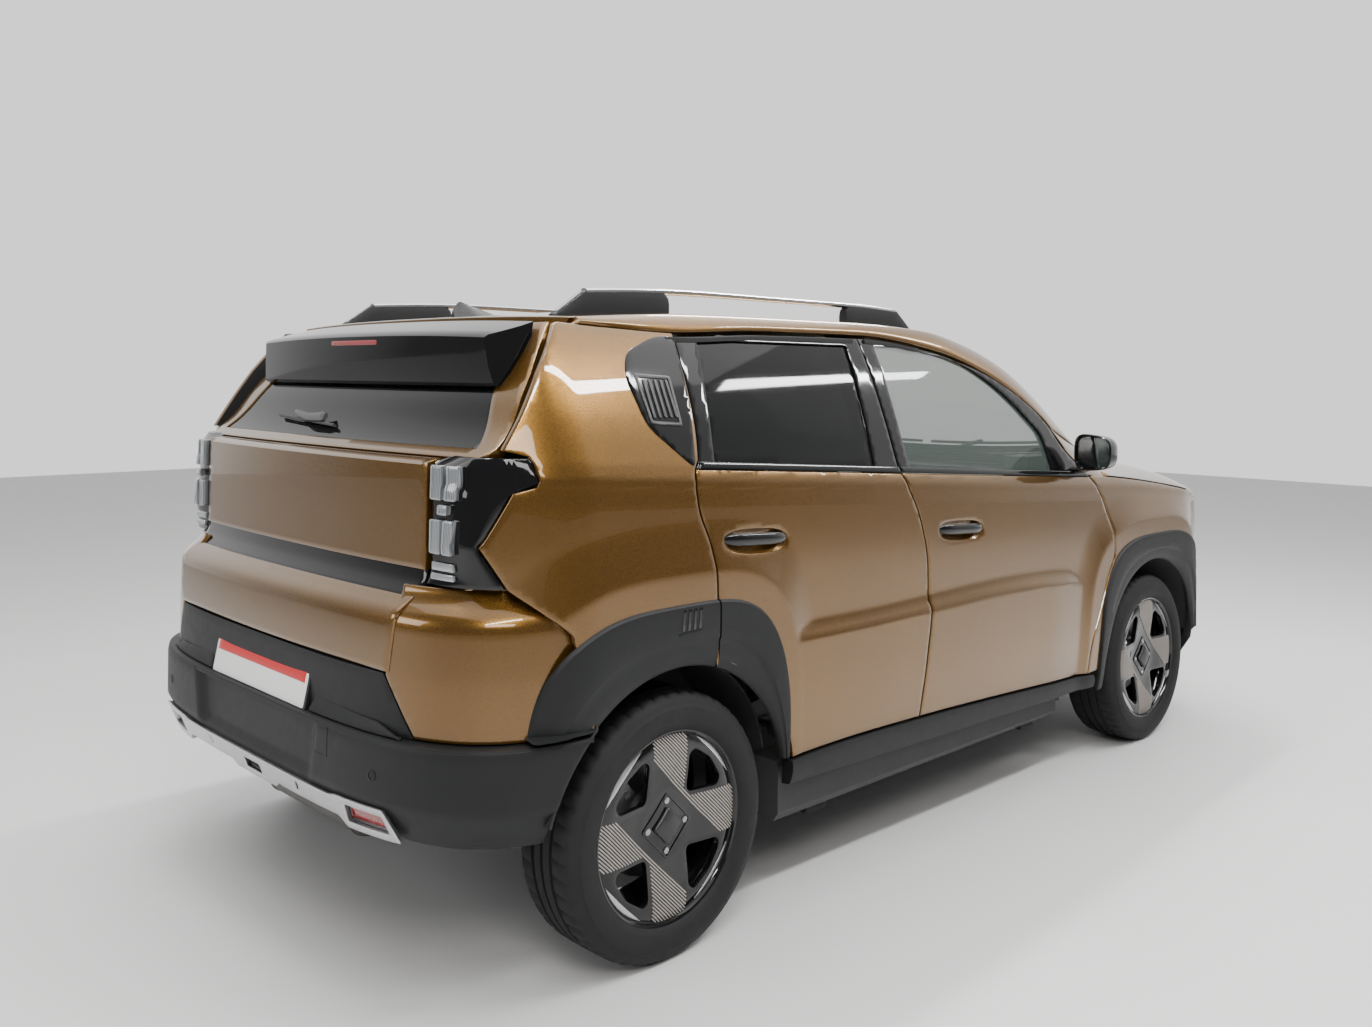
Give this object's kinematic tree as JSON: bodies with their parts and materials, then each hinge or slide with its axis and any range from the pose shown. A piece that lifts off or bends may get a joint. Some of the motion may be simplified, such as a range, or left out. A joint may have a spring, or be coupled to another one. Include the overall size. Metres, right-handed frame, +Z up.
{
  "type": "hatchback",
  "caption": "Boxy small hatchback with dark arch cladding and roof rails; opening doors, bonnet and tailgate, steered and rolling wheels",
  "frame": {"origin": "on the ground under the middle of the car's box", "axes": "+X forward, +Y to the car's left, +Z up"},
  "size_m": [4, 2.0092, 1.636],
  "materials": {
    "bronze_paint": "bronze metallic paint under clear coat",
    "dark_cladding": "grained dark grey plastic",
    "gloss_black": "polished black",
    "lamp_lens": "clear lamp lens",
    "silver_trim": "silver painted plastic",
    "pale_glass": "pale green glass",
    "tinted_glass": "dark tinted glass",
    "rail_grey": "dark grey with a silver bar",
    "underbody": "satin underbody",
    "liner": "felt-like liner",
    "dash": "soft pale plastic",
    "wheel_cover": "smooth dark cover",
    "seat_cloth": "dark woven cloth",
    "engine_metal": "cast and machined",
    "chassis_steel": "black coated steel",
    "exhaust_steel": "dull steel",
    "tyre": "road tyre",
    "wheel_black": "black painted alloy with grey inserts"
  },
  "bodies": {
    "shell": {"floor_pan": "underbody", "bulkhead": "underbody", "side_frames": "bronze_paint", "hinge_posts": "underbody", "roof_panel": "bronze_paint", "front_wings": "bronze_paint", "wheel_houses": "liner", "front_bumper": "dark_cladding", "front_grille": "gloss_black", "head_lamps": "lamp_lens", "rear_bumper": "dark_cladding", "skid_plates": "silver_trim", "tail_lamps": "lamp_lens", "windscreen": "pale_glass", "cladding": "dark_cladding", "roof_rails": "rail_grey", "dashboard": "dash", "front_seats": "seat_cloth", "rear_seat": "seat_cloth", "engine_block": "engine_metal", "front_subframe": "chassis_steel", "rear_axle": "chassis_steel", "exhaust": "exhaust_steel"},
    "steering": {"steering_wheel": "wheel_cover"},
    "lid_front": {"bonnet": "bronze_paint"},
    "lid_rear": {"tailgate": "bronze_paint", "tailgate_glass": "tinted_glass", "spoiler": "gloss_black"},
    "front_door_left": {"door_front_left": "bronze_paint", "glass_front_left": "pale_glass", "mirror_left": "gloss_black"},
    "rear_door_left": {"door_rear_left": "bronze_paint", "glass_rear_left": "tinted_glass"},
    "hub_left": {"knuckle_left": "chassis_steel"},
    "road_wheel_front_left": {"tyre_front_left": "tyre", "wheel_front_left": "wheel_black"},
    "road_wheel_rear_left": {"tyre_rear_left": "tyre", "wheel_rear_left": "wheel_black"},
    "front_door_right": {"door_front_right": "bronze_paint", "glass_front_right": "pale_glass", "mirror_right": "gloss_black"},
    "rear_door_right": {"door_rear_right": "bronze_paint", "glass_rear_right": "tinted_glass"},
    "hub_right": {"knuckle_right": "chassis_steel"},
    "road_wheel_front_right": {"tyre_front_right": "tyre", "wheel_front_right": "wheel_black"},
    "road_wheel_rear_right": {"tyre_rear_right": "tyre", "wheel_rear_right": "wheel_black"}
  },
  "joints": [
    {"name": "front_door_left_hinge", "type": "hinge", "parent": "shell", "child": "front_door_left", "pos_m": [0.65, 0.84, 0.8], "axis": [0, 0, -1], "range_deg": [0, 60]},
    {"name": "rear_door_left_hinge", "type": "hinge", "parent": "shell", "child": "rear_door_left", "pos_m": [-0.396, 0.852, 0.8], "axis": [0, 0, -1], "range_deg": [0, 60]},
    {"name": "front_door_right_hinge", "type": "hinge", "parent": "shell", "child": "front_door_right", "pos_m": [0.65, -0.84, 0.8], "axis": [0, 0, 1], "range_deg": [0, 60]},
    {"name": "rear_door_right_hinge", "type": "hinge", "parent": "shell", "child": "rear_door_right", "pos_m": [-0.396, -0.852, 0.8], "axis": [0, 0, 1], "range_deg": [0, 60]},
    {"name": "steer_left", "type": "hinge", "parent": "shell", "child": "hub_left", "pos_m": [1.2, 0.68, 0.3185], "axis": [0, 0, 1], "range_deg": [-32, 32]},
    {"name": "steer_right", "type": "hinge", "parent": "shell", "child": "hub_right", "pos_m": [1.2, -0.68, 0.3185], "axis": [0, 0, 1], "range_deg": [-32, 32]},
    {"name": "spin_front_left", "type": "hinge", "parent": "hub_left", "child": "road_wheel_front_left", "pos_m": [1.2, 0.746, 0.3185], "axis": [0, 1, 0], "continuous": true},
    {"name": "spin_rear_left", "type": "hinge", "parent": "shell", "child": "road_wheel_rear_left", "pos_m": [-1.34, 0.746, 0.3185], "axis": [0, 1, 0], "continuous": true},
    {"name": "spin_front_right", "type": "hinge", "parent": "hub_right", "child": "road_wheel_front_right", "pos_m": [1.2, -0.746, 0.3185], "axis": [0, 1, 0], "continuous": true},
    {"name": "spin_rear_right", "type": "hinge", "parent": "shell", "child": "road_wheel_rear_right", "pos_m": [-1.34, -0.746, 0.3185], "axis": [0, 1, 0], "continuous": true},
    {"name": "bonnet_hinge", "type": "hinge", "parent": "shell", "child": "lid_front", "pos_m": [0.858, 0, 1.042], "axis": [0, -1, 0], "range_deg": [0, 50]},
    {"name": "tailgate_hinge", "type": "hinge", "parent": "shell", "child": "lid_rear", "pos_m": [-1.562, 0, 1.531], "axis": [0, 1, 0], "range_deg": [0, 75]},
    {"name": "steering_wheel_turn", "type": "hinge", "parent": "shell", "child": "steering", "pos_m": [0.3832, 0.335, 0.9636], "axis": [-0.9135, 0, 0.4067], "range_deg": [-480, 480]}
  ],
  "couplings": [
    {"joint": "steer_right", "follows": "steer_left", "ratio": 1},
    {"joint": "steering_wheel_turn", "follows": "steer_left", "ratio": 15}
  ]
}
